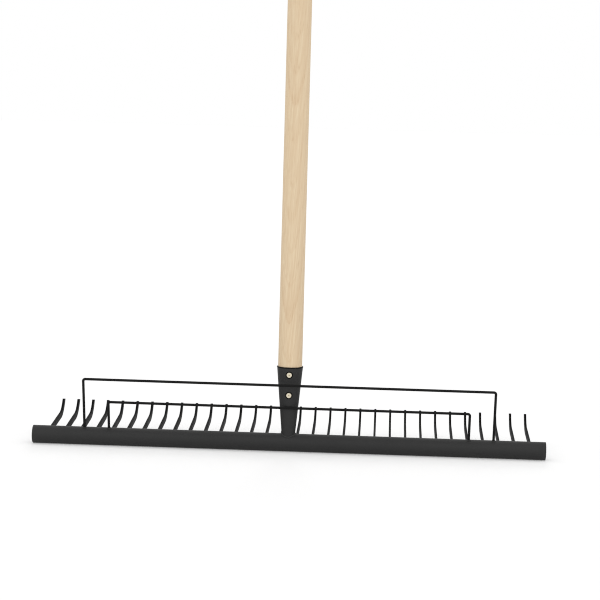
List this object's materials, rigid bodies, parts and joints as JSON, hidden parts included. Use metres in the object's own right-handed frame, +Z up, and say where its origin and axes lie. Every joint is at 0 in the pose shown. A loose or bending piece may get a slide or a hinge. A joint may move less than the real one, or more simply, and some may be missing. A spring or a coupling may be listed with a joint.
{
  "type": "hay rake",
  "caption": "Hay rake: a round steel crossbar with curled flat tines, two leaning wire bows, a riveted conical socket and a long ash handle.",
  "frame": {"origin": "on the underside of the crossbar, straight below the handle's axis", "axes": "+X along the crossbar, +Y the way the tines point, +Z up along the handle"},
  "size_m": [0.6, 0.146, 1.5325],
  "materials": {
    "powder_coated_steel": "satin anthracite powder coat",
    "ash_wood": "turned and sanded ash, unvarnished",
    "rivet_steel": "pale zinc-plated, matt"
  },
  "bodies": {
    "root": {"crossbar_tube": "powder_coated_steel", "left_end_cap": "powder_coated_steel", "right_end_cap": "powder_coated_steel", "tine_01": "powder_coated_steel", "tine_02": "powder_coated_steel", "tine_03": "powder_coated_steel", "tine_04": "powder_coated_steel", "tine_05": "powder_coated_steel", "tine_06": "powder_coated_steel", "tine_07": "powder_coated_steel", "tine_08": "powder_coated_steel", "tine_09": "powder_coated_steel", "tine_10": "powder_coated_steel", "tine_11": "powder_coated_steel", "tine_12": "powder_coated_steel", "tine_13": "powder_coated_steel", "tine_14": "powder_coated_steel", "tine_15": "powder_coated_steel", "tine_16": "powder_coated_steel", "tine_17": "powder_coated_steel", "tine_18": "powder_coated_steel", "tine_19": "powder_coated_steel", "tine_20": "powder_coated_steel", "tine_21": "powder_coated_steel", "tine_22": "powder_coated_steel", "tine_23": "powder_coated_steel", "tine_24": "powder_coated_steel", "tine_25": "powder_coated_steel", "tine_26": "powder_coated_steel", "tine_27": "powder_coated_steel", "tine_28": "powder_coated_steel", "tine_29": "powder_coated_steel", "tine_30": "powder_coated_steel", "tine_31": "powder_coated_steel", "tine_32": "powder_coated_steel", "outer_bow": "powder_coated_steel", "inner_bow": "powder_coated_steel", "handle_socket": "powder_coated_steel", "handle": "ash_wood", "upper_rivet": "rivet_steel", "lower_rivet": "rivet_steel"}
  },
  "joints": []
}
